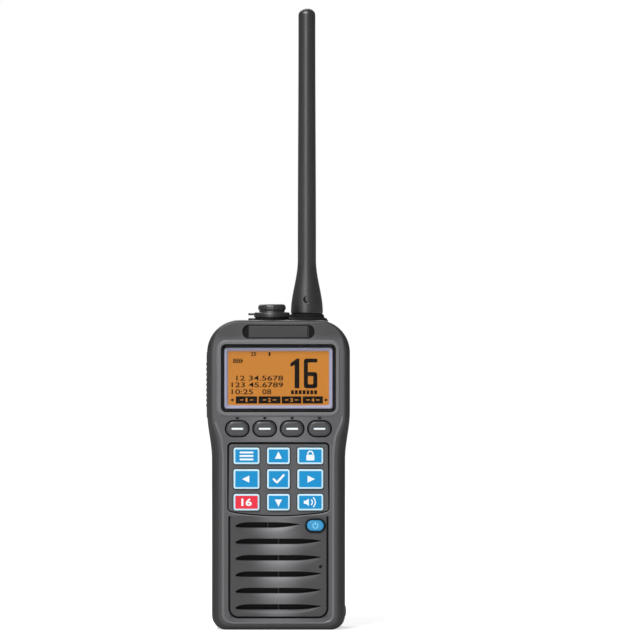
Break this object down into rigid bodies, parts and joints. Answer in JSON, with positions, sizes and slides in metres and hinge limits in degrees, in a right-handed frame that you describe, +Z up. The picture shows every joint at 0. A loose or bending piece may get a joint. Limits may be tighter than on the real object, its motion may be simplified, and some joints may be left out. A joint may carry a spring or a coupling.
{
  "type": "handheld marine vhf radio",
  "caption": "Handheld marine radio: moulded case with amber display, keypad and louvred speaker, whip antenna, push-to-talk key, battery pack and belt clip.",
  "frame": {"origin": "centre of the flat base, midway between the front face and the back of the battery pack", "axes": "+Z up along the body and the antenna, front face with the display towards -Y, push-to-talk key at -X"},
  "size_m": [0.0641, 0.0478, 0.278],
  "materials": {
    "shell_grey": "fine moulded grain",
    "shell_dark": "fine moulded grain",
    "silicone": "matt silicone",
    "badge_grey": "smooth, left bare",
    "window_glass": "clear polycarbonate with a black printed border",
    "bezel_violet": "painted frame",
    "display_amber": "backlit amber display",
    "holder_white": "white light guide",
    "circuit_board": "green solder mask",
    "sheet_metal": "tinned sheet",
    "basket_steel": "pressed steel",
    "magnet": "ferrite",
    "cone_paper": "coated paper cone and membrane",
    "patch_ceramic": "unglazed ceramic",
    "brass": "plated brass",
    "antenna_rubber": "satin moulded sheath",
    "black_plastic": "fine grain",
    "black_rubber": "satin rubber",
    "stainless": "passivated",
    "spring_steel": "bright wire",
    "soft_key_grey": "silicone with a white bar",
    "key_blue": "silicone with a pale border and icon",
    "key_red": "silicone with a pale border and number",
    "power_blue": "translucent silicone",
    "cell_blue": "heat-shrink sleeve",
    "clip_plastic": "glass-filled plastic"
  },
  "bodies": {
    "case": {"front_case": "shell_grey", "rear_case": "shell_dark", "case_gasket": "silicone", "badge_plate": "badge_grey", "window_lens": "window_glass", "display_bezel": "bezel_violet", "display_panel": "display_amber", "display_holder": "holder_white", "main_board": "circuit_board", "shield_can": "sheet_metal", "chassis_plate": "sheet_metal", "key_board": "circuit_board", "keypad_mat": "silicone", "speaker_basket": "basket_steel", "speaker_magnet": "magnet", "speaker_cone": "cone_paper", "speaker_membrane": "cone_paper", "mic_capsule": "sheet_metal", "mic_boot": "silicone", "position_patch": "patch_ceramic", "antenna_bush": "brass", "antenna_seat": "antenna_rubber", "accessory_jack": "black_plastic", "jack_seat": "black_plastic", "ptt_switch": "black_plastic", "battery_contacts": "brass", "case_screws": "stainless", "power_key_ring": "black_plastic"},
    "antenna": {"antenna_sheath": "antenna_rubber", "antenna_core": "brass", "antenna_plug": "brass"},
    "cap": {"jack_cap": "black_rubber", "cap_seal": "silicone"},
    "ptt": {"ptt_button": "black_rubber"},
    "battery": {"battery_case": "shell_dark", "battery_cells": "cell_blue", "battery_pads": "brass", "battery_seal": "silicone", "clip_base": "clip_plastic", "clip_pin": "stainless", "clip_spring": "spring_steel", "clip_screws": "stainless"},
    "lock": {"battery_screw": "stainless"},
    "clip": {"belt_clip": "clip_plastic"},
    "soft_key_1_body": {"soft_key_1": "soft_key_grey"},
    "soft_key_2_body": {"soft_key_2": "soft_key_grey"},
    "soft_key_3_body": {"soft_key_3": "soft_key_grey"},
    "soft_key_4_body": {"soft_key_4": "soft_key_grey"},
    "key_menu_body": {"key_menu": "key_blue"},
    "key_up_body": {"key_up": "key_blue"},
    "key_clear_body": {"key_clear": "key_blue"},
    "key_left_body": {"key_left": "key_blue"},
    "key_ok_body": {"key_ok": "key_blue"},
    "key_right_body": {"key_right": "key_blue"},
    "key_16_body": {"key_16": "key_red"},
    "key_down_body": {"key_down": "key_blue"},
    "key_volume_body": {"key_volume": "key_blue"},
    "power_key_body": {"power_key": "power_blue"}
  },
  "joints": [
    {"name": "antenna_lift", "type": "slide", "parent": "case", "child": "antenna", "axis": [0, 0, 1], "range_m": [0, 0.012]},
    {"name": "cap_lift", "type": "slide", "parent": "case", "child": "cap", "axis": [0, 0, 1], "range_m": [0, 0.008]},
    {"name": "ptt_press", "type": "slide", "parent": "case", "child": "ptt", "axis": [1, 0, 0], "range_m": [0, 0.0008], "stiffness_N_per_m": 2500, "springref_m": -0.0004},
    {"name": "battery_release", "type": "slide", "parent": "case", "child": "battery", "axis": [0, 1, 0], "range_m": [0, 0.03]},
    {"name": "lock_turn", "type": "hinge", "parent": "battery", "child": "lock", "pos_m": [0, 0.019, 0.023], "axis": [0, -1, 0], "range_deg": [0, 90]},
    {"name": "clip_open", "type": "hinge", "parent": "battery", "child": "clip", "pos_m": [0, 0.023, 0.092], "axis": [1, 0, 0], "range_deg": [0, 12], "stiffness_Nm_per_rad": 0.8, "springref_deg": -11.46},
    {"name": "soft_key_1_press", "type": "slide", "parent": "case", "child": "soft_key_1_body", "axis": [0, 1, 0], "range_m": [0, 0.0005], "stiffness_N_per_m": 2000, "springref_m": -0.0003},
    {"name": "soft_key_2_press", "type": "slide", "parent": "case", "child": "soft_key_2_body", "axis": [0, 1, 0], "range_m": [0, 0.0005], "stiffness_N_per_m": 2000, "springref_m": -0.0003},
    {"name": "soft_key_3_press", "type": "slide", "parent": "case", "child": "soft_key_3_body", "axis": [0, 1, 0], "range_m": [0, 0.0005], "stiffness_N_per_m": 2000, "springref_m": -0.0003},
    {"name": "soft_key_4_press", "type": "slide", "parent": "case", "child": "soft_key_4_body", "axis": [0, 1, 0], "range_m": [0, 0.0005], "stiffness_N_per_m": 2000, "springref_m": -0.0003},
    {"name": "key_menu_press", "type": "slide", "parent": "case", "child": "key_menu_body", "axis": [0, 1, 0], "range_m": [0, 0.0005], "stiffness_N_per_m": 2000, "springref_m": -0.0003},
    {"name": "key_up_press", "type": "slide", "parent": "case", "child": "key_up_body", "axis": [0, 1, 0], "range_m": [0, 0.0005], "stiffness_N_per_m": 2000, "springref_m": -0.0003},
    {"name": "key_clear_press", "type": "slide", "parent": "case", "child": "key_clear_body", "axis": [0, 1, 0], "range_m": [0, 0.0005], "stiffness_N_per_m": 2000, "springref_m": -0.0003},
    {"name": "key_left_press", "type": "slide", "parent": "case", "child": "key_left_body", "axis": [0, 1, 0], "range_m": [0, 0.0005], "stiffness_N_per_m": 2000, "springref_m": -0.0003},
    {"name": "key_ok_press", "type": "slide", "parent": "case", "child": "key_ok_body", "axis": [0, 1, 0], "range_m": [0, 0.0005], "stiffness_N_per_m": 2000, "springref_m": -0.0003},
    {"name": "key_right_press", "type": "slide", "parent": "case", "child": "key_right_body", "axis": [0, 1, 0], "range_m": [0, 0.0005], "stiffness_N_per_m": 2000, "springref_m": -0.0003},
    {"name": "key_16_press", "type": "slide", "parent": "case", "child": "key_16_body", "axis": [0, 1, 0], "range_m": [0, 0.0005], "stiffness_N_per_m": 2000, "springref_m": -0.0003},
    {"name": "key_down_press", "type": "slide", "parent": "case", "child": "key_down_body", "axis": [0, 1, 0], "range_m": [0, 0.0005], "stiffness_N_per_m": 2000, "springref_m": -0.0003},
    {"name": "key_volume_press", "type": "slide", "parent": "case", "child": "key_volume_body", "axis": [0, 1, 0], "range_m": [0, 0.0005], "stiffness_N_per_m": 2000, "springref_m": -0.0003},
    {"name": "power_key_press", "type": "slide", "parent": "case", "child": "power_key_body", "axis": [0, 1, 0], "range_m": [0, 0.0005], "stiffness_N_per_m": 2000, "springref_m": -0.0003}
  ]
}
